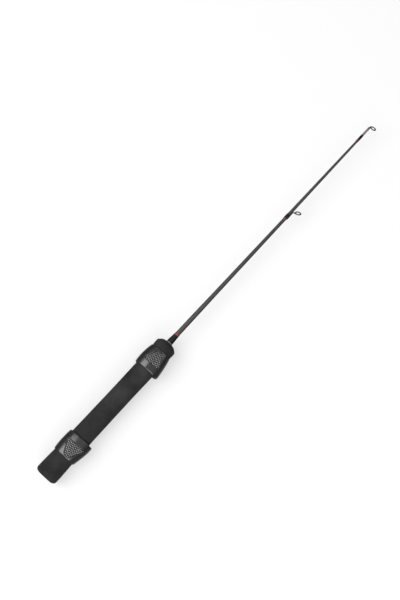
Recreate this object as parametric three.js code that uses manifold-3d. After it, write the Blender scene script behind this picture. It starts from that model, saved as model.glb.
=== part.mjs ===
// Ice fishing rod with a straight foam grip and two sliding reel rings.
// Millimetres, +Z up. The rod lies on its two reel rings, blank along +X with
// the tip at +X. Its axis is the line Y = 0, Z = AXIS_HEIGHT. The origin is under
// the middle of the rod, on the surface that it lies on.
//
// Stations along the rod are given from the butt face (0) to the front of the
// tip ring (LENGTH). Angles round the rod are measured from straight up (0)
// towards -Y, so 90 points level to the reel side and more than 90 points down.

import * as THREE from "three";
import { mergeVertices } from "three/addons/utils/BufferGeometryUtils.js";
import Module from "manifold-3d";

const wasm = await Module();
wasm.setup();

// ---------------------------------------------------------------- dimensions

const LENGTH = 548.3; // butt face to the front of the tip ring
const AXIS_HEIGHT = 15.14; // rod axis above the surface it lies on

const REEL_SIDE_REAR = 104.5; // where the rear ring's hood points, degrees
const REEL_SIDE_FRONT = 101; // where the front ring's hood points
const GUIDE_SIDE = 65; // where the line guide and tip ring point

// foam grip: outer profile [station, radius]
const GRIP = [
  [0, 9.0], [0.45, 10.3], [1.6, 11.95], [3.0, 13.1], [4.6, 13.43],
  [12.5, 13.36], [21, 13.13], [27.5, 12.87], [36, 12.7], [46, 12.5],
  [59.9, 12.27], [70, 12.14], [88, 12.1], [100, 11.9], [120, 11.9],
  [132, 11.87], [143.3, 11.96], [158.8, 12.09], [172, 12.2], [187, 12.3],
  [188.6, 12.48], [190.5, 12.62], [193, 12.7], [194.9, 12.66], [195.8, 12.35],
  [197.3, 10.95], [198.7, 9.5], [199.6, 7.8], [200.15, 5.9], [200.4, 4.2],
];
const GRIP_BORE = 3.55; // blind bore for the blank and its bond
const GRIP_BORE_END = 14; // where the bore stops, from the butt face

// epoxy bond between the blank and the grip
const BOND = { from: 14.6, to: 199.6, inner: 3.1, outer: 3.45 };

// tapered blank: [station, radius]
const BLANK = [
  [15, 3.0], [100, 2.96], [202, 2.88], [217, 2.82], [233, 2.78],
  [244, 2.73], [256, 2.65], [268, 2.55], [279, 2.47], [302, 2.34],
  [325, 2.25], [348, 2.15], [371.5, 2.05], [395, 1.96], [419, 1.86],
  [443, 1.75], [467, 1.64], [491, 1.52], [518, 1.38], [526.4, 1.33],
  [527.8, 1.04], [544.2, 1.0],
];

// reel rings: distance from the wide end, outer radius on the round side, outer
// radius on the hood side
const RING_REAR = {
  wide: 57.3, length: 26.9, sense: -1, // narrow end towards the butt
  outer: [
    [0, 13.8, 16.5], [0.75, 14.4, 17.1], [3.2, 14.62, 17.15], [6.5, 14.82, 17.0],
    [12.5, 14.95, 16.5], [19, 14.8, 15.45], [23.5, 14.4, 14.6], [26.1, 14.0, 14.0],
    [26.9, 13.55, 13.55],
  ],
  inner: [
    [26.9, 12.95, 12.95], [23.5, 13.0, 13.0], [19, 13.1, 13.75], [12.5, 13.2, 14.85],
    [6.5, 13.1, 15.4], [2, 12.95, 15.55], [0, 13.1, 15.7],
  ],
};
const RING_FRONT = {
  wide: 160.4, length: 26.4, sense: 1, // narrow end towards the tip
  outer: [
    [0, 13.5, 16.3], [0.75, 14.05, 16.9], [3.0, 14.35, 17.0], [6.5, 14.65, 16.7],
    [11, 14.8, 16.1], [16, 14.55, 15.3], [21, 14.05, 14.25], [24.4, 13.4, 13.4],
    [25.8, 13.1, 13.1], [26.4, 12.85, 12.85],
  ],
  inner: [
    [26.4, 12.42, 12.42], [22, 12.55, 12.6], [16, 12.8, 13.7], [11, 12.95, 14.5],
    [6.5, 12.9, 15.1], [2, 12.65, 15.35], [0, 12.8, 15.5],
  ],
};
const HOOD_SPREAD = 78; // how far round from the hood's centre it reaches, degrees

// winding check, a thin metal collar against the grip's nose
const CHECK = [
  [200.55, 2.98], [200.55, 3.85], [200.8, 4.02], [201.15, 3.98],
  [201.4, 3.75], [201.4, 2.98],
];

// thread wraps and trim bands under their finish: closed profiles [station, radius]
const BUTT_WRAP = [
  [201.5, 2.96], [201.5, 3.62], [201.9, 3.82], [203.6, 3.75], [206, 3.56],
  [208.2, 3.4], [210.2, 3.27], [212.2, 3.18], [212.2, 2.92],
];
const BUTT_TRIM = [
  [212.28, 2.91], [212.28, 3.17], [213.6, 3.11], [214.4, 3.05], [214.9, 2.94],
  [214.9, 2.88],
];
const GUIDE_WRAP = { from: 397.7, to: 403.2, inner: 2.02, hump: 2.74 };
const GUIDE_TRIM = [
  [395.8, 2.01], [395.8, 2.06], [396.2, 2.15], [397.0, 2.18], [397.62, 2.19],
  [397.62, 2.01],
];
const TIP_WRAP = [
  [526.4, 1.39], [526.4, 1.61], [529.6, 1.62], [532.6, 1.59], [533.3, 1.46],
  [533.3, 1.39],
];
const TIP_TRIM = [
  [522.3, 1.4], [522.3, 1.45], [522.8, 1.56], [524.2, 1.61], [526.32, 1.61],
  [526.32, 1.39],
];

// line guide: a wire loop round an insert ring, on one foot
const WIRE = 0.42; // wire radius
const LOOP = 3.47; // radius of the loop's centre line
const INSERT = { outer: 2.98, inner: 2.15, half: 0.62 };
const GUIDE_AT = 410.3; // station of the guide ring's centre
const GUIDE_REACH = 8.3; // guide ring's centre from the rod axis
const GUIDE_LEAN = 28; // lean of the ring towards the tip, degrees
const FOOT = { tip: 398.6, end: 406.8, half: 0.85, low: 2.04, high: 2.4 };

// tip top: a tube over the end of the blank, with a wire loop and insert ring
const TUBE = { from: 528, to: 545.9, outer: 1.34, inner: 1.08 };
const TIP_AT = 547.2; // station of the tip ring's centre
const TIP_REACH = 4.4;
const TIP_LEAN = 10;

// ------------------------------------------------------------------- helpers

const rad = (deg) => (deg * Math.PI) / 180;

// Unit vector pointing out of the rod axis at an angle round it.
const outward = (deg) =>
  new THREE.Vector3(0, -Math.sin(rad(deg)), Math.cos(rad(deg)));

// A profile [station, radius, radius on the hump] revolved about the rod axis.
// The third number, where a point has one, is its radius in the direction
// `towards`; the section blends between the two over `spread` degrees.
function turned(profile, sides, towards = 0, spread = 90) {
  const points = profile.map(([s, r]) => new THREE.Vector2(r, s));
  // half a side's turn puts a flat side, not an edge, at `towards`
  const start = rad(towards) - Math.PI / sides;
  const geometry = new THREE.LatheGeometry(points, sides, start);
  const at = geometry.getAttribute("position");
  const least = Math.cos(rad(spread));
  for (let i = 0; i < at.count; i++) {
    const [, r, hump = r] = profile[i % profile.length];
    if (hump === r) continue;
    const angle = Math.atan2(at.getX(i), at.getZ(i)) - rad(towards);
    const share = Math.max(0, (Math.cos(angle) - least) / (1 - least));
    const k = (r + (hump - r) * share) / r;
    at.setX(i, at.getX(i) * k);
    at.setZ(i, at.getZ(i) * k);
  }
  geometry.rotateZ(-Math.PI / 2); // the turning axis becomes +X
  return geometry;
}

const closed = (profile) => [...profile, profile[0]];

function solid(geometry) {
  const g = geometry.clone();
  for (const name of Object.keys(g.attributes))
    if (name !== "position") g.deleteAttribute(name);
  const m = mergeVertices(g, 1e-4);
  return new wasm.Manifold(
    new wasm.Mesh({
      numProp: 3,
      vertProperties: new Float32Array(m.attributes.position.array),
      triVerts: new Uint32Array(m.index.array),
    }),
  );
}

function geometryOf(manifold) {
  const m = manifold.getMesh();
  const g = new THREE.BufferGeometry();
  g.setAttribute("position", new THREE.BufferAttribute(m.vertProperties, 3));
  g.setIndex(new THREE.BufferAttribute(m.triVerts, 1));
  g.computeVertexNormals();
  return g;
}

// A round wire along a curve.
function wire(points, radius, sides, steps) {
  const section = new THREE.Shape(
    Array.from({ length: sides }, (_, i) => {
      const a = (2 * Math.PI * i) / sides;
      return new THREE.Vector2(radius * Math.cos(a), radius * Math.sin(a));
    }),
  );
  return new THREE.ExtrudeGeometry(section, {
    steps,
    bevelEnabled: false,
    extrudePath: new THREE.CatmullRomCurve3(points, false, "centripetal"),
  });
}

const group = new THREE.Group();
group.name = "ice_fishing_rod";
group.position.set(-LENGTH / 2, 0, AXIS_HEIGHT);

function part(name, geometry, material, parent = group) {
  const mesh = new THREE.Mesh(geometry, material);
  mesh.name = name;
  parent.add(mesh);
  return mesh;
}

const finish = (color, roughness, metalness = 0) =>
  new THREE.MeshStandardMaterial({ color, roughness, metalness });

// ---------------------------------------------------------------------- grip

// The bore is open at the nose and blind at the butt.
const gripProfile = [
  [0, 0], ...GRIP, [200.4, GRIP_BORE], [GRIP_BORE_END, GRIP_BORE],
  [GRIP_BORE_END, 0],
];
part(
  "grip_foam",
  turned(gripProfile, 36, (REEL_SIDE_REAR + REEL_SIDE_FRONT) / 2),
  finish(0x2b2c2e, 0.92),
);

part(
  "grip_bond_sleeve",
  turned(
    closed([
      [BOND.from, BOND.inner], [BOND.from, BOND.outer],
      [BOND.to, BOND.outer], [BOND.to, BOND.inner],
    ]),
    16,
  ),
  finish(0xb9a874, 0.35),
);

// --------------------------------------------------------------------- blank

part(
  "rod_blank",
  turned([[BLANK[0][0], 0], ...BLANK, [BLANK.at(-1)[0], 0]], 18),
  finish(0x3c3e41, 0.28),
);

part("winding_check", turned(closed(CHECK), 28), finish(0x9b9da0, 0.35, 0.9));

// ---------------------------------------------------------------- reel rings

// Each ring is a thin barrel whose hood side stands off the grip at its wide
// end, so that a reel foot slides in between.
function reelRing(ring, towards) {
  const station = ([d, r, h]) => [ring.wide + ring.sense * d, r, h];
  let profile = [...ring.outer, ...ring.inner].map(station);
  if (ring.sense < 0) profile = profile.reverse();
  return turned(closed(profile), 48, towards, HOOD_SPREAD);
}
part("reel_ring_rear", reelRing(RING_REAR, REEL_SIDE_REAR), finish(0x3f4143, 0.42));
part("reel_ring_front", reelRing(RING_FRONT, REEL_SIDE_FRONT), finish(0x3f4143, 0.42));

// --------------------------------------------------------------- thread wraps

part("butt_wrap", turned(closed(BUTT_WRAP), 24), finish(0x0d0d0e, 0.15));
part("butt_trim_band", turned(closed(BUTT_TRIM), 24), finish(0xb3202c, 0.25));

const wrapWall = 0.22;
const guideWrap = (() => {
  const { from, to, inner, hump } = GUIDE_WRAP;
  const out = (s, lift) => [s, inner + lift, hump + lift];
  return closed([
    [from, inner, hump], out(from, wrapWall), out(from + 1.6, wrapWall + 0.03),
    out(to - 0.8, wrapWall), out(to, 0.1), [to, inner, hump],
  ]);
})();
part("guide_wrap", turned(guideWrap, 24, GUIDE_SIDE, 52), finish(0x0d0d0e, 0.15));
part("guide_trim_band", turned(closed(GUIDE_TRIM), 20), finish(0x8e1f2a, 0.25));
part("tiptop_wrap", turned(closed(TIP_WRAP), 20), finish(0x0d0d0e, 0.15));
part("tiptop_trim_band", turned(closed(TIP_TRIM), 20), finish(0x8e1f2a, 0.25));

// ---------------------------------------------------------------- line guide

// Points on a guide are given as station, distance from the rod axis towards
// GUIDE_SIDE, and distance sideways.
const towardsGuide = outward(GUIDE_SIDE);
const sideways = new THREE.Vector3(1, 0, 0).cross(towardsGuide);
const onGuide = (station, reach, side) =>
  new THREE.Vector3(station, 0, 0)
    .addScaledVector(towardsGuide, reach)
    .addScaledVector(sideways, side);

const tilt = rad(GUIDE_LEAN);
// A point of the guide's leaning plane: v from the ring's centre, away from the
// rod, and w sideways.
const onPlane = (v, w) =>
  onGuide(GUIDE_AT + v * Math.sin(tilt), GUIDE_REACH + v * Math.cos(tilt), w);

const legs = [
  onGuide(405.4, 2.47, -0.45), onGuide(407.0, 2.47, -0.45),
  onGuide(407.95, 2.66, -0.45), onGuide(408.3, 3.35, -0.47),
  onPlane(-4.3, -0.74), onPlane(-3.6, -1.3),
];
const loop = [];
for (let a = 36; a <= 324; a += 18)
  loop.push(onPlane(-LOOP * Math.cos(rad(a)), -LOOP * Math.sin(rad(a))));
const mirrored = [
  onPlane(-3.6, 1.3), onPlane(-4.3, 0.74),
  onGuide(408.3, 3.35, 0.47), onGuide(407.95, 2.66, 0.45),
  onGuide(407.0, 2.47, 0.45), onGuide(405.4, 2.47, 0.45),
];
const guideWire = wire([...legs, ...loop, ...mirrored], WIRE, 8, 84);

// The foot: the two wires brazed together and flattened to a taper, which lies
// on the blank under the wrap.
const footShape = new THREE.Shape([
  new THREE.Vector2(FOOT.tip, FOOT.low), new THREE.Vector2(FOOT.end, FOOT.low),
  new THREE.Vector2(FOOT.end, FOOT.high + 0.1),
  new THREE.Vector2(FOOT.end - 1.2, FOOT.high),
  new THREE.Vector2(FOOT.tip + 1.5, FOOT.high - 0.06),
  new THREE.Vector2(FOOT.tip, FOOT.low + 0.12),
]);
const foot = new THREE.ExtrudeGeometry(footShape, {
  depth: 2 * FOOT.half,
  bevelEnabled: false,
});
foot.translate(0, 0, -FOOT.half);
foot.applyMatrix4(
  new THREE.Matrix4().makeBasis(
    new THREE.Vector3(1, 0, 0), towardsGuide, sideways,
  ),
);
part(
  "guide_frame",
  geometryOf(solid(guideWire).add(solid(foot))),
  finish(0x6d6660, 0.3, 0.95),
);

// A rounded ring section, [along the ring's axis, radius].
const insert = () => {
  const { outer, inner, half } = INSERT;
  return closed([
    [-half * 0.7, outer], [half * 0.7, outer], [half, outer - 0.2],
    [half, inner + 0.3], [half * 0.45, inner + 0.04], [-half * 0.45, inner + 0.04],
    [-half, inner + 0.3], [-half, outer - 0.2],
  ]);
};

// A ring whose axis is +X, moved to a guide: its plane leans towards the tip.
function onRod(geometry, station, reach, lean) {
  const across = towardsGuide
    .clone()
    .multiplyScalar(Math.cos(rad(lean)))
    .add(new THREE.Vector3(Math.sin(rad(lean)), 0, 0));
  const normal = across.clone().cross(sideways);
  const at = new THREE.Vector3(station, 0, 0).addScaledVector(towardsGuide, reach);
  return geometry.applyMatrix4(
    new THREE.Matrix4().makeBasis(normal, across, sideways).setPosition(at),
  );
}

part(
  "guide_ring",
  onRod(turned(insert(), 32), GUIDE_AT, GUIDE_REACH, GUIDE_LEAN),
  finish(0x3a3836, 0.18, 0.2),
);

// ------------------------------------------------------------------- tip top

part(
  "tiptop_tube",
  turned(
    [
      [545.2, 0], [545.2, TUBE.inner], [TUBE.from, TUBE.inner],
      [TUBE.from, TUBE.outer], [TUBE.to - 0.25, TUBE.outer],
      [TUBE.to, TUBE.outer - 0.25], [TUBE.to, 0],
    ],
    20,
  ),
  finish(0x8c8e91, 0.3, 0.95),
);

const hoop = closed(
  Array.from({ length: 8 }, (_, i) => {
    const a = (2 * Math.PI * (i + 0.5)) / 8;
    return [WIRE * Math.sin(a), LOOP + WIRE * Math.cos(a)];
  }),
);
const tipLoop = onRod(turned(hoop, 36), TIP_AT, TIP_REACH, TIP_LEAN);
// the bead of braze that joins the loop to the end of the tube
const bead = turned(
  [[545.98, 0], [545.98, 0.98], [546.6, 0.94], [547, 0.5], [547, 0]],
  12,
);
part(
  "tiptop_frame",
  geometryOf(solid(tipLoop).add(solid(bead))),
  finish(0x6d6660, 0.3, 0.95),
);
part(
  "tiptop_ring",
  onRod(turned(insert(), 32), TIP_AT, TIP_REACH, TIP_LEAN),
  finish(0x3a3836, 0.18, 0.2),
);

export default group;
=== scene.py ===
"""The looks of the ice fishing rod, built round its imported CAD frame.

Metres, in the part's frame: the rod's axis runs along +X towards the tip, at AXIS_Z
above the floor. Stations are millimetres from the butt face. Angles round the rod are
measured from straight up towards -Y.
"""

import math

import bmesh
import bpy
import numpy as np
from mathutils import Matrix, Vector, noise


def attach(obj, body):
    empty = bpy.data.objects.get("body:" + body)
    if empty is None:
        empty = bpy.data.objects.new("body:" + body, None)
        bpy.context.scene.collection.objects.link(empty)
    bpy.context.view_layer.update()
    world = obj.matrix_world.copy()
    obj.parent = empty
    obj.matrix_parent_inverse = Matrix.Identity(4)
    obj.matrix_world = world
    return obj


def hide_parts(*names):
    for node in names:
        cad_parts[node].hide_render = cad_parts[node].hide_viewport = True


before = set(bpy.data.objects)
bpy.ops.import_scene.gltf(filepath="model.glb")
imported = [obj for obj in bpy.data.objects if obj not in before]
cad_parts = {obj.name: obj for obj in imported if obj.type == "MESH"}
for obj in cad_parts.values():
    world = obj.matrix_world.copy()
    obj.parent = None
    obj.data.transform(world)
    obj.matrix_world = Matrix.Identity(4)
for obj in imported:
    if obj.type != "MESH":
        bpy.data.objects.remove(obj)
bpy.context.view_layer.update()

MM = 0.001
LENGTH = 548.3
AXIS_Z = 15.14
HOOD_REAR, HOOD_FRONT, GUIDE_SIDE = 104.5, 101.0, 65.0

rad = math.radians


# ------------------------------------------------------------------ mesh helpers


def at(station, radius, phi):
    """Points in the part's frame from stations and radii in millimetres and angles in radians."""
    station, radius, phi = np.broadcast_arrays(station, radius, phi)
    return np.stack(
        [
            (station - LENGTH / 2) * MM,
            -radius * np.sin(phi) * MM,
            (AXIS_Z + radius * np.cos(phi)) * MM,
        ],
        -1,
    )


def smoothstep(a, b, x):
    t = np.clip((x - a) / (b - a), 0.0, 1.0)
    return t * t * (3 - 2 * t)


def catmull(points, per=8, closed=False):
    """A centripetal Catmull-Rom curve through points, with per steps from each to the next."""
    p = np.asarray(points, float)
    if closed:
        p = np.vstack([p[-1], p, p[0], p[1]])
    else:
        p = np.vstack([2 * p[0] - p[1], p, 2 * p[-1] - p[-2]])
    out = []
    for i in range(1, len(p) - 2):
        p0, p1, p2, p3 = p[i - 1 : i + 3]
        t0 = 0.0
        t1 = t0 + max(np.linalg.norm(p1 - p0), 1e-9) ** 0.5
        t2 = t1 + max(np.linalg.norm(p2 - p1), 1e-9) ** 0.5
        t3 = t2 + max(np.linalg.norm(p3 - p2), 1e-9) ** 0.5
        for t in np.linspace(t1, t2, per, endpoint=False):
            a1 = (t1 - t) / (t1 - t0) * p0 + (t - t0) / (t1 - t0) * p1
            a2 = (t2 - t) / (t2 - t1) * p1 + (t - t1) / (t2 - t1) * p2
            a3 = (t3 - t) / (t3 - t2) * p2 + (t - t2) / (t3 - t2) * p3
            b1 = (t2 - t) / (t2 - t0) * a1 + (t - t0) / (t2 - t0) * a2
            b2 = (t3 - t) / (t3 - t1) * a2 + (t - t1) / (t3 - t1) * a3
            out.append((t2 - t) / (t2 - t1) * b1 + (t - t1) / (t2 - t1) * b2)
    if not closed:
        out.append(p[-2])
    return np.array(out)


def resample(path, step):
    """The polyline at even steps of about step along it, keeping both ends."""
    path = np.asarray(path, float)
    run = np.concatenate([[0], np.cumsum(np.linalg.norm(np.diff(path, axis=0), axis=1))])
    n = max(2, int(round(run[-1] / step)) + 1)
    at_run = np.linspace(0, run[-1], n)
    return np.stack([np.interp(at_run, run, path[:, k]) for k in range(path.shape[1])], -1)


def rounded(path, radius, steps=5, closed=False):
    """The polyline with each corner replaced by an arc. radius is one number or one for each point."""
    path = np.asarray(path, float)
    n = len(path)
    radii = np.broadcast_to(radius, n)
    out = []
    for i in range(n):
        if not closed and i in (0, n - 1) or radii[i] <= 0:
            out.append(path[i])
            continue
        a, b, c = path[i - 1], path[i], path[(i + 1) % n]
        u, v = a - b, c - b
        lu, lv = np.linalg.norm(u), np.linalg.norm(v)
        u, v = u / lu, v / lv
        half = math.acos(max(-1, min(1, float(u @ v)))) / 2
        if half > rad(88):
            out.append(b)
            continue
        cut = min(radii[i] / math.tan(half), 0.48 * lu, 0.48 * lv)
        p, q = b + u * cut, b + v * cut
        for k in np.linspace(0, 1, steps + 1):
            out.append((1 - k) ** 2 * p + 2 * k * (1 - k) * b + k * k * q)
    return np.array(out)


def mesh_object(name, verts, faces, smooth=True):
    mesh = bpy.data.meshes.new(name)
    mesh.from_pydata([tuple(v) for v in np.asarray(verts).tolist()], [], faces)
    mesh.update()
    bm = bmesh.new()
    bm.from_mesh(mesh)
    bmesh.ops.recalc_face_normals(bm, faces=bm.faces)
    if bm.calc_volume(signed=True) < 0:
        bmesh.ops.reverse_faces(bm, faces=bm.faces)
    bm.to_mesh(mesh)
    bm.free()
    if smooth:
        mesh.polygons.foreach_set("use_smooth", [True] * len(mesh.polygons))
    obj = bpy.data.objects.new(name, mesh)
    bpy.context.scene.collection.objects.link(obj)
    return obj


def grid_faces(rows, cols, wrap_rows=False, start=0):
    """Quads of a grid whose columns go all the way round."""
    faces = []
    for i in range(rows if wrap_rows else rows - 1):
        a, b = start + i * cols, start + ((i + 1) % rows) * cols
        faces += [
            (a + j, a + (j + 1) % cols, b + (j + 1) % cols, b + j) for j in range(cols)
        ]
    return faces


def turned(name, profile, cols, wobble=None, phase=0.0):
    """A profile of [station, radius] revolved about the rod axis. It starts and ends on the axis, or closes on itself."""
    profile = np.asarray(profile, float)
    solid = profile[0, 1] < 1e-9 and profile[-1, 1] < 1e-9
    phi = phase + np.arange(cols) * 2 * math.pi / cols
    body = profile[1:-1] if solid else profile
    s, r = body[:, :1] + 0 * phi, body[:, 1:2] + 0 * phi
    if wobble is not None:
        r = wobble(s, r, phi + 0 * r)
    points = at(s, r, phi).reshape(-1, 3)
    faces = grid_faces(len(body), cols, wrap_rows=not solid)
    if solid:
        first, last = len(points), len(points) + 1
        points = np.vstack(
            [points, at(profile[0, 0], 0.0, 0.0), at(profile[-1, 0], 0.0, 0.0)]
        )
        end = (len(body) - 1) * cols
        faces += [(first, (j + 1) % cols, j) for j in range(cols)]
        faces += [(last, end + j, end + (j + 1) % cols) for j in range(cols)]
    return mesh_object(name, points, faces)


def tube(path, radius, sides=18):
    """(points, faces) of a round tube with rounded ends along a path in metres. radius is in metres, one or one per point."""
    path = np.asarray(path, float)
    n = len(path)
    radii = np.broadcast_to(np.asarray(radius, float), n).copy()
    tangent = np.gradient(path, axis=0)
    tangent /= np.linalg.norm(tangent, axis=1)[:, None]
    normal = np.cross(tangent[0], [0.31, 0.62, 0.72])
    normal /= np.linalg.norm(normal)
    rings = []
    for i in range(n):
        normal = normal - tangent[i] * (normal @ tangent[i])
        normal /= np.linalg.norm(normal)
        side = np.cross(tangent[i], normal)
        a = np.arange(sides) * 2 * math.pi / sides
        rings.append(
            path[i] + radii[i] * (np.outer(np.cos(a), normal) + np.outer(np.sin(a), side))
        )
    caps = []
    for end, sign in ((0, -1), (n - 1, 1)):
        extra = []
        for k in (0.5, 0.85):
            extra.append(
                path[end]
                + (rings[end] - path[end]) * math.sqrt(1 - k * k)
                + sign * tangent[end] * radii[end] * k
            )
        caps.append((extra, path[end] + sign * tangent[end] * radii[end]))
    rings = [caps[0][0][1], caps[0][0][0], *rings, caps[1][0][0], caps[1][0][1]]
    points = np.vstack([*rings, caps[0][1][None], caps[1][1][None]])
    faces = grid_faces(len(rings), sides)
    first, last, end = len(points) - 2, len(points) - 1, (len(rings) - 1) * sides
    faces += [(first, (j + 1) % sides, j) for j in range(sides)]
    faces += [(last, end + j, end + (j + 1) % sides) for j in range(sides)]
    return points, faces


def joined(parts):
    points, faces, start = [], [], 0
    for p, f in parts:
        points.append(p)
        faces += [tuple(start + i for i in face) for face in f]
        start += len(p)
    return np.vstack(points), faces


def brazed(name, parts, voxel, smoothing):
    """Closed parts melted into one surface, with soft fillets where they meet."""
    obj = mesh_object(name + "_raw", *joined(parts))
    remesh = obj.modifiers.new("melt", "REMESH")
    remesh.mode = "VOXEL"
    remesh.voxel_size = voxel
    remesh.adaptivity = 0.0
    smooth = obj.modifiers.new("soften", "CORRECTIVE_SMOOTH")
    smooth.smooth_type = "LENGTH_WEIGHTED"
    smooth.iterations = smoothing
    smooth.use_only_smooth = True
    graph = bpy.context.evaluated_depsgraph_get()
    mesh = bpy.data.meshes.new_from_object(obj.evaluated_get(graph))
    bpy.data.objects.remove(obj)
    mesh.name = name
    mesh.polygons.foreach_set("use_smooth", [True] * len(mesh.polygons))
    made = bpy.data.objects.new(name, mesh)
    bpy.context.scene.collection.objects.link(made)
    return made


# ---------------------------------------------------------------------- materials


class Look:
    """One procedural material: a Principled shader and short calls for the nodes that feed it."""

    def __init__(self, name):
        self.material = bpy.data.materials.new(name)
        self.material.use_nodes = True
        self.tree = self.material.node_tree
        self.tree.nodes.clear()
        self.output = self.node("ShaderNodeOutputMaterial")
        self.bsdf = self.node("ShaderNodeBsdfPrincipled")
        self.link(self.bsdf.outputs[0], self.output.inputs["Surface"])
        self.coords = self.node("ShaderNodeTexCoord").outputs["Object"]

    def node(self, kind, **settings):
        n = self.tree.nodes.new(kind)
        for key, value in settings.items():
            setattr(n, key, value)
        return n

    def link(self, a, b):
        self.tree.links.new(a, b)

    def set(self, **values):
        for key, value in values.items():
            self.bsdf.inputs[key.replace("_", " ")].default_value = value
        return self

    def stretched(self, x, y, z):
        m = self.node("ShaderNodeMapping")
        m.inputs["Scale"].default_value = (x, y, z)
        self.link(self.coords, m.inputs["Vector"])
        return m.outputs[0]

    def noise(self, scale, detail=3.0, roughness=0.55, vector=None, distortion=0.0):
        n = self.node("ShaderNodeTexNoise")
        n.inputs["Scale"].default_value = scale
        n.inputs["Detail"].default_value = detail
        n.inputs["Roughness"].default_value = roughness
        n.inputs["Distortion"].default_value = distortion
        self.link(vector or self.coords, n.inputs["Vector"])
        return n.outputs[0]

    def cells(self, scale, feature="F1", output="Distance", randomness=1.0, vector=None):
        n = self.node("ShaderNodeTexVoronoi", feature=feature)
        n.inputs["Scale"].default_value = scale
        n.inputs["Randomness"].default_value = randomness
        self.link(vector or self.coords, n.inputs["Vector"])
        return n.outputs[output]

    def wave(self, scale, direction="X", distortion=0.0, detail=1.0, vector=None, profile="SIN"):
        n = self.node(
            "ShaderNodeTexWave", bands_direction=direction, wave_profile=profile
        )
        n.inputs["Scale"].default_value = scale
        n.inputs["Distortion"].default_value = distortion
        n.inputs["Detail"].default_value = detail
        self.link(vector or self.coords, n.inputs["Vector"])
        return n.outputs["Fac"]

    def range(self, value, a, b, lo, hi):
        n = self.node("ShaderNodeMapRange")
        for key, v in (("From Min", a), ("From Max", b), ("To Min", lo), ("To Max", hi)):
            n.inputs[key].default_value = v
        self.link(value, n.inputs["Value"])
        return n.outputs[0]

    def math(self, operation, a, b):
        n = self.node("ShaderNodeMath", operation=operation)
        for socket, v in zip(n.inputs, (a, b)):
            if isinstance(v, (int, float)):
                socket.default_value = v
            else:
                self.link(v, socket)
        return n.outputs[0]

    def mix(self, factor, a, b, blend="MIX"):
        n = self.node("ShaderNodeMix", data_type="RGBA", blend_type=blend)
        for socket, v in ((n.inputs[0], factor), (n.inputs[6], a), (n.inputs[7], b)):
            if isinstance(v, (int, float)):
                socket.default_value = v
            elif isinstance(v, (tuple, list)):
                socket.default_value = (*v, 1.0)
            else:
                self.link(v, socket)
        return n.outputs[2]

    def bumps(self, *layers):
        """Each layer is (height, strength, distance in metres)."""
        normal = None
        for height, strength, distance in layers:
            n = self.node("ShaderNodeBump")
            n.inputs["Strength"].default_value = strength
            n.inputs["Distance"].default_value = distance
            self.link(height, n.inputs["Height"])
            if normal is not None:
                self.link(normal, n.inputs["Normal"])
            normal = n.outputs[0]
        self.link(normal, self.bsdf.inputs["Normal"])
        return self

    def feed(self, socket, output):
        self.link(output, self.bsdf.inputs[socket])
        return self

    def edges(self, lo, hi):
        """1 on convex edges and 0 on flats, from the mesh's own pointiness."""
        return self.range(self.node("ShaderNodeNewGeometry").outputs["Pointiness"], lo, hi, 0.0, 1.0)


def foam_look():
    k = Look("eva_foam")
    cloud = k.noise(48, 4, 0.58)
    grain = k.noise(1500, 3, 0.65)
    speck = k.noise(520, 2, 0.5)
    pores = k.cells(1900)
    tone = k.mix(k.range(cloud, 0.32, 0.68, 0, 1), (0.0016, 0.0016, 0.0017), (0.0165, 0.0166, 0.0170))
    tone = k.mix(k.range(grain, 0.35, 0.72, 0, 0.55), tone, (0.0185, 0.0186, 0.0190))
    tone = k.mix(k.range(speck, 0.6, 0.78, 0, 0.35), tone, (0.0055, 0.0055, 0.0057))
    tone = k.mix(k.range(pores, 0.0, 0.22, 0.55, 0), tone, (0.0028, 0.0028, 0.0029))
    k.feed("Base Color", tone)
    k.feed("Roughness", k.range(grain, 0.3, 0.7, 0.78, 0.96))
    k.set(Specular_IOR_Level=0.2, Sheen_Weight=0.04, Sheen_Roughness=0.45)
    k.bumps(
        (k.range(pores, 0.0, 0.35, 0.0, 1.0), 0.35, 0.00016),
        (grain, 0.55, 0.00022),
        (speck, 0.25, 0.0003),
        (k.wave(230, "X", 3.0, 2.0), 0.06, 0.0004),
    )
    return k.material


def ring_look():
    k = Look("ring_plastic")
    cloud = k.noise(70, 4, 0.6)
    fine = k.noise(2600, 2, 0.5)
    spark = k.cells(3600)
    scuffs = k.noise(260, 5, 0.7, k.stretched(0.35, 2.2, 2.2), 0.6)
    tone = k.mix(k.range(cloud, 0.3, 0.7, 0, 1), (0.0118, 0.0119, 0.0124), (0.0160, 0.0161, 0.0167))
    tone = k.mix(k.range(scuffs, 0.62, 0.82, 0, 0.35), tone, (0.032, 0.0323, 0.0333))
    # a lighter colour on convex edges, from the mesh's pointiness mixed with fine noise
    lighter_edges = k.math("MULTIPLY", k.edges(0.53, 0.62), k.range(fine, 0.3, 0.7, 0.35, 1.0))
    tone = k.mix(k.math("MULTIPLY", lighter_edges, 0.35), tone, (0.062, 0.0625, 0.064))
    # painted highlight and painted shade: the studs' crowns get a lighter colour and the pad's recessed floor a
    # near-black one; the crowns also get more specular, and the floor is rougher with less specular
    relief = k.node("ShaderNodeAttribute", attribute_name="relief").outputs["Fac"]
    tone = k.mix(k.range(relief, 1.0, 1.9, 0.0, 0.9), tone, (0.058, 0.0585, 0.060))
    tone = k.mix(k.range(relief, 0.1, 0.9, 1.0, 0.0), tone, (0.0022, 0.0022, 0.0023))
    k.feed("Base Color", tone)
    rough = k.range(cloud, 0.25, 0.75, 0.25, 0.32)
    rough = k.math("ADD", rough, k.range(scuffs, 0.55, 0.85, 0.0, 0.10))
    rough = k.math("ADD", rough, k.range(relief, 0.1, 0.9, 0.5, 0.0))
    k.feed("Roughness", rough)
    shine = k.math("ADD", k.range(relief, 0.1, 0.9, 0.05, 0.5), k.range(relief, 1.0, 1.9, 0.0, 0.45))
    k.feed("Specular IOR Level", shine)
    k.set(IOR=1.53)
    k.bumps((fine, 0.10, 0.00012), (spark, 0.08, 0.00008), (scuffs, 0.05, 0.0002))
    return k.material


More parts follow.
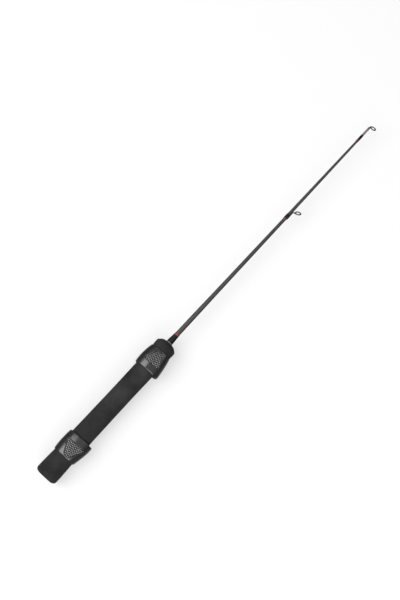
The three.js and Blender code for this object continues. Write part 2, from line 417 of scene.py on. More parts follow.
def blank_look():
    k = Look("composite_blank")
    cloud = k.noise(90, 3, 0.6, k.stretched(0.25, 1, 1))
    fibres = k.noise(2600, 3, 0.6, k.stretched(0.02, 1, 1))
    tape = k.wave(62, "X", 1.2, 2.0)
    cross = k.wave(520, "DIAGONAL", 2.0, 2.0)
    tone = k.mix(k.range(cloud, 0.3, 0.7, 0, 1), (0.0135, 0.0137, 0.0142), (0.0190, 0.0193, 0.0199))
    tone = k.mix(k.range(fibres, 0.45, 0.75, 0, 0.6), tone, (0.033, 0.0335, 0.0345))
    tone = k.mix(k.range(tape, 0.82, 1.0, 0, 0.22), tone, (0.0085, 0.0086, 0.0089))
    tone = k.mix(k.range(cross, 0.6, 1.0, 0, 0.12), tone, (0.029, 0.0295, 0.0305))
    k.feed("Base Color", tone)
    k.feed("Roughness", k.range(cloud, 0.3, 0.7, 0.38, 0.5))
    k.set(IOR=1.5, Coat_Weight=0.08, Coat_Roughness=0.25)
    k.bumps((fibres, 0.10, 0.00006), (tape, 0.05, 0.0001), (cross, 0.04, 0.00005))
    return k.material


def thread_look(name, dark, light, shine, coat, pitch=0.00028):
    """Wound thread seen through a clear finish."""
    k = Look(name)
    wound = k.wave(1 / pitch / 20 * 1.0, "X", 0.25, 1.0)
    flow = k.noise(420, 3, 0.5)
    fuzz = k.noise(2400, 2, 0.6, k.stretched(1, 0.25, 0.25))
    tone = k.mix(wound, dark, light)
    tone = k.mix(k.range(fuzz, 0.5, 0.8, 0, 0.35), tone, shine)
    k.feed("Base Color", tone)
    k.feed("Roughness", k.range(fuzz, 0.3, 0.7, 0.32, 0.5))
    k.set(IOR=1.5, Specular_IOR_Level=0.14, Coat_Weight=coat, Coat_Roughness=0.1, Coat_IOR=1.5)
    k.bumps((wound, 0.20, 0.00004), (flow, 0.12, 0.0002))
    return k.material


def metal_look(name, dark, light, rough, scale=2600, turned_lines=True):
    k = Look(name)
    cloud = k.noise(300, 3, 0.6)
    lines = k.noise(scale, 4, 0.65, k.stretched(1, 0.12, 0.12) if turned_lines else None)
    tone = k.mix(k.range(cloud, 0.3, 0.7, 0, 1), dark, light)
    tone = k.mix(k.range(lines, 0.55, 0.8, 0, 0.3), tone, tuple(0.55 * c for c in dark))
    k.feed("Base Color", tone)
    k.feed("Roughness", k.range(lines, 0.3, 0.75, rough - 0.06, rough + 0.1))
    k.set(Metallic=1.0)
    k.bumps((lines, 0.08, 0.00003), (cloud, 0.05, 0.0001))
    return k.material


def insert_look():
    k = Look("ring_insert")
    cloud = k.noise(700, 3, 0.6)
    specks = k.cells(5200)
    tone = k.mix(k.range(cloud, 0.3, 0.7, 0, 1), (0.012, 0.0115, 0.011), (0.024, 0.023, 0.022))
    tone = k.mix(k.range(specks, 0.0, 0.2, 0.3, 0), tone, (0.09, 0.086, 0.082))
    k.feed("Base Color", tone)
    k.feed("Roughness", k.range(cloud, 0.3, 0.7, 0.12, 0.22))
    k.set(IOR=1.7)
    k.bumps((cloud, 0.05, 0.00005), (specks, 0.03, 0.00003))
    return k.material


def epoxy_look():
    k = Look("cured_epoxy")
    cloud = k.noise(160, 4, 0.6)
    tone = k.mix(k.range(cloud, 0.3, 0.7, 0, 1), (0.46, 0.37, 0.16), (0.58, 0.5, 0.26))
    k.feed("Base Color", tone)
    k.feed("Roughness", k.range(cloud, 0.3, 0.7, 0.2, 0.35))
    k.set(IOR=1.55)
    k.bumps((cloud, 0.2, 0.0003))
    return k.material


LOOKS = {
    "eva_foam": foam_look(),
    "ring_plastic": ring_look(),
    "composite_blank": blank_look(),
    "black_thread": thread_look(
        "black_thread", (0.0014, 0.0014, 0.0015), (0.0034, 0.0034, 0.0036), (0.009, 0.009, 0.0095), 0.08
    ),
    "red_thread": thread_look(
        "red_thread", (0.040, 0.0015, 0.003), (0.095, 0.004, 0.008), (0.24, 0.035, 0.045), 0.9
    ),
    # a lighter copy of the red thread, painted light: its brighter tone and shine colour stand in for the butt band's
    # highlight
    "red_thread_painted_lit": thread_look(
        "red_thread_painted_lit", (0.075, 0.0025, 0.005), (0.20, 0.009, 0.016), (0.48, 0.10, 0.125), 1.0
    ),
    "check_metal": metal_look("check_metal", (0.34, 0.34, 0.35), (0.44, 0.44, 0.45), 0.55),
    "guide_steel": metal_look("guide_steel", (0.055, 0.0545, 0.0535), (0.095, 0.094, 0.0925), 0.26),
    "tube_steel": metal_look("tube_steel", (0.185, 0.186, 0.191), (0.26, 0.261, 0.267), 0.42),
    "ring_insert": insert_look(),
    "cured_epoxy": epoxy_look(),
}


def dress(obj, body, slot, *nodes, look=None):
    """Gives a finished piece its material (the look named by its slot unless another look is given) and its CAD body,
    and hides the CAD nodes that it stands for.
    """
    obj.data.materials.clear()
    obj.data.materials.append(LOOKS[look or slot])
    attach(obj, body)
    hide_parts(*nodes)
    return obj


# --------------------------------------------------------------------- foam grip

GRIP_BACK = catmull(
    [
        [4.6, 13.42], [8, 13.42], [12.5, 13.36], [21, 13.13], [27.5, 12.87], [36, 12.7],
        [46, 12.5], [59.9, 12.27], [70, 12.14], [88, 12.06], [104, 11.94], [120, 11.88],
        [132, 11.87], [143.3, 11.96], [158.8, 12.09], [172, 12.2], [183, 12.28],
        [187, 12.33], [188.8, 12.46], [190.5, 12.6], [192.8, 12.68],
    ],
    10,
)
GRIP_BUTT = catmull(
    [
        [0, 0], [0.0, 2.4], [0.02, 4.8], [0.1, 7.0], [0.3, 8.9], [0.8, 10.55],
        [1.7, 11.95], [2.9, 12.95], [4.6, 13.42],
    ],
    8,
)
GRIP_NOSE = catmull(
    [
        [192.8, 12.68], [194.6, 12.66], [195.6, 12.42], [196.4, 11.85], [197.6, 10.65],
        [198.7, 9.45], [199.6, 7.8], [200.15, 5.9], [200.4, 4.3], [200.42, 3.78],
    ],
    8,
)
outer = np.vstack([GRIP_BUTT[:-1], resample(GRIP_BACK, 0.85)[:-1], GRIP_NOSE])
bore = np.array([[200.3, 3.57], [199.6, 3.55], [150, 3.55], [80, 3.55], [14.2, 3.55], [14.0, 3.3], [14.0, 0]])
grip_profile = np.vstack([outer, bore])


def foam_surface(s, r, phi):
    """Sanded foam isn't quite round or straight: a few hundredths of a millimetre of waviness."""
    out = r.copy()
    for i in range(r.shape[0]):
        if i >= len(outer) - 2 or r[i, 0] < 3.7:
            continue
        for j in range(r.shape[1]):
            c, d = math.cos(phi[i, j]), math.sin(phi[i, j])
            p = Vector((s[i, j] * 0.10, c * 1.3, d * 1.3))
            q = Vector((s[i, j] * 0.9, c * 11, d * 11))
            out[i, j] += 0.05 * noise.noise(p) + 0.022 * noise.noise(q)
    return out


grip = turned("grip_foam_fine", grip_profile, 120, foam_surface)
dress(grip, "rod", "eva_foam", "grip_foam")


# --------------------------------------------------------------------- reel rings

SPREAD = rad(78)


def share(delta):
    """How far the section is on its way from the round side to the hood, by angle from the hood's centre."""
    least = math.cos(SPREAD)
    x = (np.cos(delta) - least) / (1 - least)
    return 0.5 * (x + np.sqrt(x * x + 0.0064)) - 0.0008


def outline_distance(x, y, outline):
    """Signed distance in millimetres from points to a closed outline, negative inside."""
    a = outline
    b = np.roll(outline, -1, axis=0)
    p = np.stack([x.ravel(), y.ravel()], -1)
    best = np.full(len(p), 1e9)
    inside = np.zeros(len(p), bool)
    for (ax, ay), (bx, by) in zip(a, b):
        ex, ey = bx - ax, by - ay
        t = np.clip(((p[:, 0] - ax) * ex + (p[:, 1] - ay) * ey) / (ex * ex + ey * ey), 0, 1)
        best = np.minimum(best, np.hypot(p[:, 0] - ax - t * ex, p[:, 1] - ay - t * ey))
        crosses = (ay > p[:, 1]) != (by > p[:, 1])
        with np.errstate(divide="ignore", invalid="ignore"):
            x_at = ax + (p[:, 1] - ay) * ex / (ey if ey else 1e-12)
        inside ^= crosses & (p[:, 0] < x_at)
    return np.where(inside, -best, best).reshape(x.shape)


def pad_height(d, arc, outline):
    """Height of a finger pad over the ring's surface: a recess inside a rounded triangle, filled with staggered lozenge studs."""
    sd = outline_distance(d, arc, outline)
    recess = -0.86 * smoothstep(0.06, -0.34, sd)
    row_gap, col_gap = 1.98, 2.3
    best = np.full(d.shape, -1.0)
    for shift in (0.0, 0.5):
        row = np.round(d / (2 * row_gap) - shift) + shift
        col = np.round(arc / col_gap - shift) + shift
        u = (d - row * 2 * row_gap) / row_gap
        v = (arc - col * col_gap) / (col_gap / 2)
        e = 1 - (np.abs(u) ** 1.2 + np.abs(v) ** 1.2)
        best = np.maximum(best, e)
    stud = smoothstep(0.02, 0.62, best) * (0.7 + 0.3 * np.clip(best, 0, 1))
    stud *= smoothstep(-0.25, -0.6, sd)
    # relief: 1 on the plain surface, up to 2 on the studs' crowns, 0 in the recess
    relief = np.where(sd > -0.05, 1.0, 2.0 * smoothstep(0.12, 0.85, stud))
    return recess + 0.80 * stud, relief


def reel_ring(name, wide, sense, length, outer_at, inner_at, hood, pad):
    """A barrel ring with a hood at its wide end and a studded pad on each side of the hood.

    outer_at and inner_at are [distance from the wide end, radius on the round side, radius on the hood side].
    """
    outer_curve = catmull(outer_at, 12)
    inner_curve = catmull(inner_at, 6)
    # rows: fine and even over the outside, coarser on the ends and inside
    outside = resample(outer_curve, 0.2)
    inside = resample(inner_curve, 1.2)
    end = np.stack([outside[-1] * (1 - t) + inside[0] * t for t in (0.33, 0.67)])
    lip = np.stack([inside[-1] * (1 - t) + outside[0] * t for t in (0.33, 0.67)])
    rows = np.vstack([outside, end, inside, lip])
    n_out = len(outside)

    mid = 14.9
    half = np.max(np.abs(pad[:, 1])) / mid + rad(2.5)
    centres = [rad(hood - 90), rad(hood + 90)]
    columns = []
    for c in centres:
        columns += list(c + np.linspace(-half, half, int(2 * half * mid / 0.21)))
    gaps = [(centres[0] + half, centres[1] - half), (centres[1] + half, centres[0] - half + 2 * math.pi)]
    for a, b in gaps:
        n = int((b - a) / rad(1.6))
        columns += list(np.linspace(a, b, n + 2)[1:-1])
    phi = np.array(sorted(c % (2 * math.pi) for c in columns))

    delta = phi - rad(hood)
    k = share(np.arctan2(np.sin(delta), np.cos(delta)))[None]
    r = rows[:, 1:2] * (1 - k) + rows[:, 2:3] * k
    d = rows[:, :1] + 0 * r
    relief = np.ones(r.shape)
    for c in centres:
        turn = np.arctan2(np.sin(phi - c), np.cos(phi - c))[None] + 0 * r
        arc = turn * mid
        near = np.abs(turn) < half
        height, raised = pad_height(d[:n_out], arc[:n_out], pad)
        r[:n_out] += np.where(near[:n_out], height, 0)
        relief[:n_out] = np.where(near[:n_out], raised, relief[:n_out])
    station = wide + sense * d
    points = at(station, r, phi[None] + 0 * r).reshape(-1, 3)
    obj = mesh_object(name, points, grid_faces(len(rows), len(phi), wrap_rows=True))
    layer = obj.data.attributes.new("relief", "FLOAT", "POINT")
    layer.data.foreach_set("value", relief.reshape(-1).astype(np.float32))
    return obj


PAD_REAR = catmull(
    [
        [7.75, 0], [7.8, 5.0], [8.1, 9.2], [9.0, 11.5], [10.6, 12.2], [12.2, 11.6],
        [14.4, 10.2], [18.0, 8.0], [21.2, 6.2], [23.7, 4.7], [25.0, 2.6], [25.4, 0],
        [25.0, -2.6], [23.7, -4.7], [21.2, -6.2], [18.0, -8.0], [14.4, -10.2],
        [12.2, -11.6], [10.6, -12.2], [9.0, -11.5], [8.1, -9.2], [7.8, -5.0],
    ],
    8,
    closed=True,
)
PAD_FRONT = catmull(
    [
        [7.9, 0], [7.95, 4.5], [8.2, 8.0], [9.0, 10.0], [10.5, 10.7], [12.2, 10.2],
        [14.4, 9.2], [17.6, 7.4], [20.6, 5.8], [23.0, 4.4], [24.3, 2.5], [24.7, 0],
        [24.3, -2.5], [23.0, -4.4], [20.6, -5.8], [17.6, -7.4], [14.4, -9.2],
        [12.2, -10.2], [10.5, -10.7], [9.0, -10.0], [8.2, -8.0], [7.95, -4.5],
    ],
    8,
    closed=True,
)

rear = reel_ring(
    "reel_ring_rear_fine", 57.3, -1, 26.9,
    [
        [0.02, 13.62, 16.1], [0.12, 13.95, 16.45], [0.4, 14.25, 16.78], [0.9, 14.42, 16.98],
        [1.8, 14.5, 17.08], [3.2, 14.62, 17.12], [6.5, 14.82, 17.0], [10, 14.93, 16.72],
        [14, 14.96, 16.25], [19, 14.8, 15.42], [22, 14.56, 14.85], [24.2, 14.33, 14.45],
        [25.4, 14.16, 14.18], [26.2, 13.98, 13.98], [26.7, 13.7, 13.7], [26.88, 13.4, 13.4],
    ],
    [
        [26.82, 13.08, 13.08], [26.3, 12.98, 12.98], [23.5, 13.0, 13.0], [19, 13.1, 13.75],
        [12.5, 13.2, 14.85], [6.5, 13.12, 15.4], [2, 13.0, 15.55], [0.5, 13.05, 15.6],
        [0.05, 13.25, 15.78],
    ],
    HOOD_REAR, PAD_REAR,
)
dress(rear, "rear_ring", "ring_plastic", "reel_ring_rear")

front = reel_ring(
    "reel_ring_front_fine", 160.4, 1, 26.4,
    [
        [0.02, 13.28, 15.82], [0.12, 13.6, 16.1], [0.45, 13.92, 16.5], [1.0, 14.12, 16.8],
        [1.9, 14.24, 16.98], [3.2, 14.38, 17.0], [6.5, 14.66, 16.72], [9.5, 14.79, 16.32],
        [12.5, 14.78, 15.88], [16, 14.56, 15.3], [19, 14.3, 14.66], [21.5, 14.0, 14.15],
        [23.6, 13.6, 13.64], [25.0, 13.34, 13.34], [25.9, 13.16, 13.16], [26.3, 12.95, 12.95],
        [26.4, 12.72, 12.72],
    ],
    [
        [26.3, 12.5, 12.5], [25.6, 12.42, 12.42], [22, 12.55, 12.6], [16, 12.8, 13.7],
        [11, 12.95, 14.5], [6.5, 12.92, 15.1], [2, 12.7, 15.35], [0.5, 12.75, 15.4],
        [0.05, 12.95, 15.55],
    ],
    HOOD_FRONT, PAD_FRONT,
)
dress(front, "front_ring", "ring_plastic", "reel_ring_front")


# ------------------------------------------------------------- blank and its wraps

BLANK = [
    [100, 2.96], [202, 2.88], [217, 2.82], [233, 2.78], [244, 2.73], [256, 2.65],
    [268, 2.55], [279, 2.47], [302, 2.34], [325, 2.25], [348, 2.15], [371.5, 2.05],
    [395, 1.96], [419, 1.86], [443, 1.75], [467, 1.64], [491, 1.52], [518, 1.38],
    [526.4, 1.33],
]


def blank_surface(s, r, phi):
    """The faint spiral that the shrink tape leaves on a rolled blank."""
    turn = (s / 2.4 - phi / (2 * math.pi)) % 1.0
    ridge = np.exp(-(((turn - 0.5) / 0.16) ** 2))
    return r + np.where((s > 16) & (s < 526), 0.008 * (ridge - 0.3), 0)


blank_profile = np.vstack(
    [
        [[15, 0], [15, 2.7], [15.3, 3.0]],
        resample(catmull(BLANK, 10), 0.55),
        [[527.8, 1.04], [540, 1.01], [544.0, 1.0], [544.2, 0.85], [544.2, 0]],
    ]
)
blank = turned("rod_blank_fine", blank_profile, 40, blank_surface)
dress(blank, "rod", "composite_blank", "rod_blank")

check = turned(
    "winding_check_fine",
    rounded(
        [
            [200.56, 2.98], [200.56, 3.82], [200.78, 4.01], [201.15, 3.99], [201.3, 3.86],
            [201.39, 3.7], [201.39, 2.98],
        ],
        0.08, 4, closed=True,
    ),
    96,
)
dress(check, "rod", "check_metal", "winding_check")


def wound(pitch, depth, ends):
    """Thread laid side by side round the rod, softened by the finish over it. ends are the stations between which it shows."""

    def surface(s, r, phi):
        turn = (s / pitch - phi / (2 * math.pi)) % 1.0
        ridge = np.abs(np.sin(math.pi * turn)) ** 0.8 - 0.6
        fade = smoothstep(ends[0], ends[0] + 0.25, s) * smoothstep(ends[1], ends[1] - 0.25, s)
        outside = r > r.min() + 0.12
        return r + np.where(outside, depth * ridge * fade, 0)

    return surface


def sleeve(inner, outer_points, step=0.045):
    """A closed profile: a smooth outside over a plain bore."""
    top = resample(catmull(outer_points, 8), step)
    a, b = top[0], top[-1]
    return np.vstack([[[a[0], inner[0]]], top, [[b[0], inner[1]]]])


butt_wrap = turned(
    "butt_wrap_fine",
    sleeve(
        (2.96, 2.92),
        [
            [201.5, 3.4], [201.55, 3.64], [201.8, 3.8], [202.4, 3.81], [203.8, 3.74],
            [206, 3.57], [208.2, 3.4], [210.2, 3.27], [211.7, 3.2], [212.15, 3.16],
            [212.2, 3.1],
        ],
    ),
    64,
    wound(0.28, 0.03, (201.6, 212.2)),
)
dress(butt_wrap, "rod", "black_thread", "butt_wrap")

butt_trim = turned(
    "butt_trim_band_fine",
    sleeve(
        (2.91, 2.88),
        [
            [212.28, 3.04], [212.34, 3.13], [212.7, 3.16], [213.4, 3.12], [214.1, 3.07],
            [214.6, 2.99], [214.9, 2.92],
        ],
        0.03,
    ),
    64,
    wound(0.28, 0.025, (212.3, 214.8)),
)
# the butt band takes the lighter copy of the red thread, with its painted highlight
dress(butt_trim, "rod", "red_thread", "butt_trim_band", look="red_thread_painted_lit")

tip_wrap = turned(
    "tiptop_wrap_fine",
    sleeve(
        (1.39, 1.39),
        [
            [526.4, 1.54], [526.5, 1.59], [527.4, 1.615], [529.6, 1.62], [531.6, 1.61],
            [532.6, 1.57], [533.15, 1.49], [533.3, 1.43],
        ],
        0.035,
    ),
    48,
    wound(0.24, 0.02, (526.5, 533.1)),
)
dress(tip_wrap, "rod", "black_thread", "tiptop_wrap")

tip_trim = turned(
    "tiptop_trim_band_fine",
    sleeve(
        (1.4, 1.4),
        [
            [522.3, 1.43], [522.45, 1.49], [522.9, 1.56], [524.0, 1.605], [525.6, 1.61],
            [526.2, 1.6], [526.32, 1.53],
        ],
        0.03,
    ),
    48,
    wound(0.24, 0.02, (522.5, 526.3)),
)
dress(tip_trim, "rod", "red_thread", "tiptop_trim_band")

guide_trim = turned(
    "guide_trim_band_fine",
    sleeve(
        (2.01, 2.01),
        [
            [395.8, 2.04], [395.95, 2.1], [396.3, 2.16], [397.0, 2.19], [397.45, 2.2],
            [397.6, 2.17], [397.62, 2.12],
        ],
        0.03,
    ),
    48,
    wound(0.24, 0.02, (396.0, 397.6)),
)
dress(guide_trim, "rod", "red_thread", "guide_trim_band")


def guide_wrap():
    """The wrap over the guide's foot: round the blank, with a hump where it climbs over the foot."""
    stations = np.concatenate([np.linspace(397.7, 403.2, 124)])
    cols = 72
    phi = np.arange(cols) * 2 * math.pi / cols
    delta = np.arctan2(np.sin(phi - rad(GUIDE_SIDE)), np.cos(phi - rad(GUIDE_SIDE)))
    least = math.cos(rad(52))
    k = np.clip((np.cos(delta) - least) / (1 - least), 0, 1)
    k = k * k * (3 - 2 * k) * 0.35 + k * 0.65
    # a foot that tapers away from the ring: the hump rises along it
    rise = smoothstep(397.7, 400.2, stations)[:, None] * 0.45 + 0.55
    inner = np.maximum(2.02 + 0.72 * k[None], 2.02) + 0 * rise
    outer_r = 2.02 + 0.72 * k[None] * rise
    outer_r = np.maximum(outer_r, 2.02 + 0.72 * k[None] * 0.98)
    lift = 0.24 * np.minimum(
        smoothstep(397.62, 398.0, stations), smoothstep(403.28, 402.5, stations)
    )
    turn = (stations[:, None] / 0.24 - phi[None] / (2 * math.pi)) % 1.0
    ridge = np.abs(np.sin(math.pi * turn)) ** 0.8 - 0.6
    outer_r = outer_r + lift[:, None] + 0.02 * ridge * (lift[:, None] / 0.24) + 0.01
    rows = np.vstack([outer_r, inner[::-1][::12]])
    where = np.concatenate([stations, stations[::-1][::12]])
    points = at(where[:, None] + 0 * rows, rows, phi[None] + 0 * rows).reshape(-1, 3)
    return mesh_object("guide_wrap_fine", points, grid_faces(len(rows), cols, wrap_rows=True))


dress(guide_wrap(), "rod", "black_thread", "guide_wrap")


# -------------------------------------------------------------- guide and tip top

WIRE, LOOP = 0.42, 3.47
GUIDE_RING = (410.3, 8.3, 28)  # station, distance from the axis, lean
TIP_RING = (547.2, 4.4, 10)
toward = np.array([0.0, -math.sin(rad(GUIDE_SIDE)), math.cos(rad(GUIDE_SIDE))])
along = np.array([1.0, 0.0, 0.0])
sideways = np.cross(along, toward)


def on_guide(station, reach, side):
    """A point given by its station, its distance from the axis towards the guide's side, and its distance sideways, in millimetres."""
    return (
        np.array([station - LENGTH / 2, 0, AXIS_Z]) + reach * toward + side * sideways
    ) * MM


def leaning(centre, reach, lean, v, w):
    t = rad(lean)
    return on_guide(centre + v * math.sin(t), reach + v * math.cos(t), w)


def guide_frame():
    plane = lambda v, w: leaning(*GUIDE_RING, v, w)
    def leg(side):
        return [
            on_guide(402.5, 2.3, 0.4 * side), on_guide(405.0, 2.44, 0.44 * side),
            on_guide(407.0, 2.47, 0.45 * side), on_guide(407.95, 2.66, 0.45 * side),
            on_guide(408.3, 3.35, 0.47 * side), plane(-4.3, 0.74 * side),
            plane(-3.6, 1.3 * side),
        ]

    half, other = leg(1), leg(-1)
    loop = [
        plane(-LOOP * math.cos(rad(a)), -LOOP * math.sin(rad(a))) for a in range(36, 325, 12)
    ]
    path = resample(catmull([*other, *loop, *half[::-1]], 10), 0.00022)
    radii = np.full(len(path), WIRE * MM)
    parts = [tube(path, radii, 16)]
    # the flattened foot that the thread holds down
    foot = []
    for s, half_w, low, high in (
        (398.6, 0.36, 2.05, 2.14), (399.3, 0.6, 2.04, 2.22), (401.0, 0.78, 2.04, 2.34),
        (403.2, 0.84, 2.04, 2.4), (406.0, 0.86, 2.04, 2.46), (407.0, 0.72, 2.1, 2.58),
        (407.6, 0.5, 2.25, 2.8), (408.0, 0.36, 2.55, 3.05),
    ):
        mid_h, half_h = (low + high) / 2, (high - low) / 2
        a = np.arange(20) * 2 * math.pi / 20
        c, d = np.cos(a), np.sin(a)
        w = half_w * np.sign(c) * np.abs(c) ** 0.7
        h = mid_h + half_h * np.sign(d) * np.abs(d) ** 0.7
        foot.append([on_guide(s, hh, ww) for ww, hh in zip(w, h)])
    foot = np.array(foot).reshape(-1, 3)
    faces = grid_faces(8, 20)
    faces += [tuple(range(20))[::-1], tuple(range(140, 160))]
    parts.append((foot, faces))
    # braze in the fork, where the two wires part to make the loop
    web = [plane(-4.9, 0.0), plane(-4.35, 0.0), plane(-3.85, 0.0)]
    parts.append(tube(catmull(web, 6), 0.34 * MM, 12))
    return brazed("guide_frame_fine", parts, 0.075 * MM, 6)


dress(guide_frame(), "rod", "guide_steel", "guide_frame")


def insert_ring(name, station, reach, lean, cols=96):
    """A polished ring with a rounded inside, pressed in its wire loop."""
    section = rounded(
        [[-0.62, 3.03], [0.62, 3.03], [0.62, 2.5], [0.22, 2.15], [-0.22, 2.15], [-0.62, 2.5]],
        [0.2, 0.2, 0.3, 0.45, 0.45, 0.3], 6, closed=True,
    )
    t = rad(lean)
    across = toward * math.cos(t) + along * math.sin(t)
    normal = np.cross(across, sideways)
    centre = on_guide(station, reach, 0)
    a = np.arange(cols) * 2 * math.pi / cols
    points = []
    for h, r in section:
        points.append(
            centre
            + MM * (h * normal[None] + r * (np.outer(np.cos(a), across) + np.outer(np.sin(a), sideways)))
        )
    return mesh_object(name, np.vstack(points), grid_faces(len(section), cols, wrap_rows=True))


dress(insert_ring("guide_ring_fine", *GUIDE_RING), "rod", "ring_insert", "guide_ring")
dress(insert_ring("tiptop_ring_fine", *TIP_RING), "rod", "ring_insert", "tiptop_ring")


def tip_frame():
    plane = lambda v, w: leaning(*TIP_RING, v, w)
    loop = np.array(
        [plane(LOOP * math.cos(a), LOOP * math.sin(a)) for a in np.arange(120) * 2 * math.pi / 120]
    )
    sides = 16
    t = rad(TIP_RING[2])
    across = toward * math.cos(t) + along * math.sin(t)
    normal = np.cross(across, sideways)
    rings = []
    for i in range(120):
        a = i * 2 * math.pi / 120
        out = across * math.cos(a) + sideways * math.sin(a)
        b = np.arange(sides) * 2 * math.pi / sides
        rings.append(loop[i] + WIRE * MM * (np.outer(np.cos(b), out) + np.outer(np.sin(b), normal)))
    parts = [(np.vstack(rings), grid_faces(120, sides, wrap_rows=True))]
    # the drop of braze between the tube's end and the loop
    turn = np.arange(24) * 2 * math.pi / 24
    drop = [(545.94, 0.9), (546.1, 1.0), (546.4, 1.02), (546.7, 0.92), (546.95, 0.66), (547.05, 0.34)]
    rings = [at(station, radius, turn) for station, radius in drop]
    faces = grid_faces(len(drop), 24)
    faces += [tuple(range(24))[::-1], tuple(range(24 * len(drop) - 24, 24 * len(drop)))]
    parts.append((np.vstack(rings), faces))
    return brazed("tiptop_frame_fine", parts, 0.075 * MM, 6)


dress(tip_frame(), "rod", "guide_steel", "tiptop_frame")

tip_tube = turned(
    "tiptop_tube_fine",
    np.vstack(
        [
            [[545.2, 0], [545.2, 1.03]],
            rounded(
                [
                    [545.1, 1.08], [538, 1.08], [528, 1.08], [528, 1.34], [538, 1.34],
                    [545.9, 1.34], [545.9, 0.4],
                ],
                [0, 0, 0.06, 0.06, 0, 0.3, 0], 5,
            ),
            [[545.9, 0]],
        ]
    ),
    64,
)
dress(tip_tube, "rod", "guide_steel", "tiptop_tube", look="tube_steel")

# the bond inside the grip keeps its CAD shape
for name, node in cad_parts.items():
    if name == "grip_bond_sleeve":
        node.data.materials.clear()
        node.data.materials.append(LOOKS["cured_epoxy"])


# -------------------------------------------------------------- floor and lights


def floor():
    look = bpy.data.materials.new("floor")
    look.use_nodes = True
    tree = look.node_tree
    tree.nodes.clear()
    out = tree.nodes.new("ShaderNodeOutputMaterial")
    add = tree.nodes.new("ShaderNodeAddShader")
    diffuse = tree.nodes.new("ShaderNodeBsdfDiffuse")
    glow = tree.nodes.new("ShaderNodeEmission")
    diffuse.inputs["Color"].default_value = (FLOOR_ALBEDO,) * 3 + (1,)
    glow.inputs["Strength"].default_value = FLOOR_GLOW
    tree.links.new(diffuse.outputs[0], add.inputs[0])
    tree.links.new(glow.outputs[0], add.inputs[1])
    tree.links.new(add.outputs[0], out.inputs["Surface"])
    mesh = bpy.data.meshes.new("floor")
    e = 6.0
    mesh.from_pydata([(-e, -e, -0.0001), (e, -e, -0.0001), (e, e, -0.0001), (-e, e, -0.0001)], [], [(0, 1, 2, 3)])
    obj = bpy.data.objects.new("floor", mesh)
    mesh.materials.append(look)
    bpy.context.scene.collection.objects.link(obj)
    # the pale floor takes the rod's soft shadow and doesn't light it from below
    obj.visible_glossy = False
    obj.visible_diffuse = False
    return obj


FLOOR_ALBEDO = 0.24
FLOOR_GLOW = 0.525
floor()


def softbox(name, phi, xi, distance, half_phi, half_xi, radiance, target=(-0.10, 0, 0.015)):
    """A soft area light seen from the handle at phi from straight up towards -Y and xi towards +X, in degrees."""
    p, x = rad(phi), rad(xi)
    d = Vector((math.sin(x), -math.sin(p) * math.cos(x), math.cos(p) * math.cos(x)))
    size_x = 2 * distance * math.tan(rad(half_xi))
    size_y = 2 * distance * math.tan(rad(half_phi))
    data = bpy.data.lights.new(name, "AREA")
    data.shape = "RECTANGLE"
    data.size, data.size_y = size_x, size_y
    data.energy = math.pi * size_x * size_y * radiance
    light = bpy.data.objects.new(name, data)
    z = d
    x_axis = (Vector((1, 0, 0)) - z * z.x).normalized()
    y_axis = z.cross(x_axis)
    m = Matrix((x_axis, y_axis, z)).transposed().to_4x4()
    m.translation = Vector(target) + d * distance
    light.matrix_world = m
    light.visible_camera = False
    bpy.context.scene.collection.objects.link(light)
    return light


softbox("key", -31, -20, 2.6, 27, 26, 6.2)
softbox("fill", 46, -38, 2.6, 26, 22, 4.6)
softbox("side", 55, 42, 2.6, 20, 20, 2.0)

world = bpy.data.worlds.new("studio")
bpy.context.scene.world = world
world.use_nodes = True
tree = world.node_tree
tree.nodes.clear()
w_out = tree.nodes.new("ShaderNodeOutputWorld")
w_mix = tree.nodes.new("ShaderNodeMixShader")
w_path = tree.nodes.new("ShaderNodeLightPath")
w_dim = tree.nodes.new("ShaderNodeBackground")
w_white = tree.nodes.new("ShaderNodeBackground")
w_coord = tree.nodes.new("ShaderNodeTexCoord")
w_split = tree.nodes.new("ShaderNodeSeparateXYZ")
w_ramp = tree.nodes.new("ShaderNodeMapRange")
w_white.inputs["Strength"].default_value = 1.0
w_floor = tree.nodes.new("ShaderNodeMapRange")
w_sum = tree.nodes.new("ShaderNodeMath")
for node, values in ((w_ramp, (0.12, 0.5, 0.0, 0.5)), (w_floor, (-0.75, -0.4, 0.45, 0.0))):
    for key, v in zip(("From Min", "From Max", "To Min", "To Max"), values):
        node.inputs[key].default_value = v
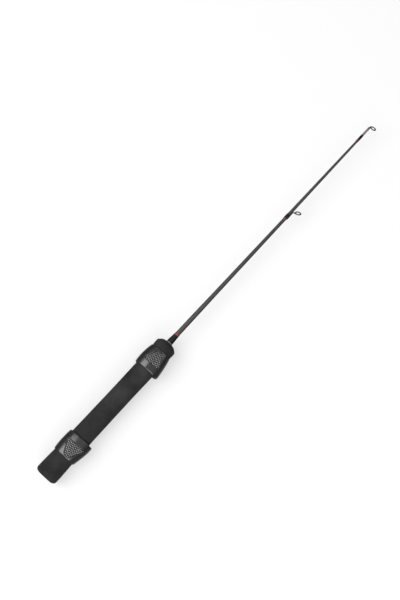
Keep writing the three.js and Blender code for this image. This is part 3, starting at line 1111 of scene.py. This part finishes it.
tree.links.new(w_coord.outputs["Generated"], w_split.inputs[0])
tree.links.new(w_split.outputs["Z"], w_ramp.inputs["Value"])
tree.links.new(w_split.outputs["Z"], w_floor.inputs["Value"])
tree.links.new(w_ramp.outputs[0], w_sum.inputs[0])
tree.links.new(w_floor.outputs[0], w_sum.inputs[1])
tree.links.new(w_sum.outputs[0], w_dim.inputs["Strength"])
tree.links.new(w_path.outputs["Is Camera Ray"], w_mix.inputs[0])
tree.links.new(w_dim.outputs[0], w_mix.inputs[1])
tree.links.new(w_white.outputs[0], w_mix.inputs[2])
tree.links.new(w_mix.outputs[0], w_out.inputs["Surface"])


# -------------------------------------------------------------------------- camera

# The camera stands over the butt end, 14 degrees off straight down, and looks along
# the rod towards its tip.
TURN, LEAN, ROLL = rad(47.77), 14.106, rad(-0.103)
DISTANCE = 1.43
lean = rad(LEAN)
ahead = Vector((math.sin(TURN), math.cos(TURN), 0))
right = Vector((math.cos(TURN), -math.sin(TURN), 0))
forward = -math.cos(lean) * Vector((0, 0, 1)) + math.sin(lean) * ahead
up = math.cos(lean) * ahead + math.sin(lean) * Vector((0, 0, 1))
right, up = (
    math.cos(ROLL) * right + math.sin(ROLL) * up,
    -math.sin(ROLL) * right + math.cos(ROLL) * up,
)
middle = Vector((260.5 - LENGTH / 2, 7.1, AXIS_Z)) * MM
middle -= (0.37 * right - 0.35 * up) * MM / 0.89
camera_data = bpy.data.cameras.new("camera")
camera_data.sensor_fit = "AUTO"
camera_data.sensor_width = 36.0
camera_data.lens = 36.0 * 0.89 * 1430 / 600
camera_data.clip_start, camera_data.clip_end = 0.05, 30
camera = bpy.data.objects.new("camera", camera_data)
pose = Matrix((right, up, -forward)).transposed().to_4x4()
pose.translation = middle - forward * DISTANCE
camera.matrix_world = pose
bpy.context.scene.collection.objects.link(camera)
scene = bpy.context.scene
scene.camera = camera
scene.view_settings.view_transform = "Standard"
scene.view_settings.look = "None"
scene.view_settings.exposure = 0.0
scene.view_settings.gamma = 1.0
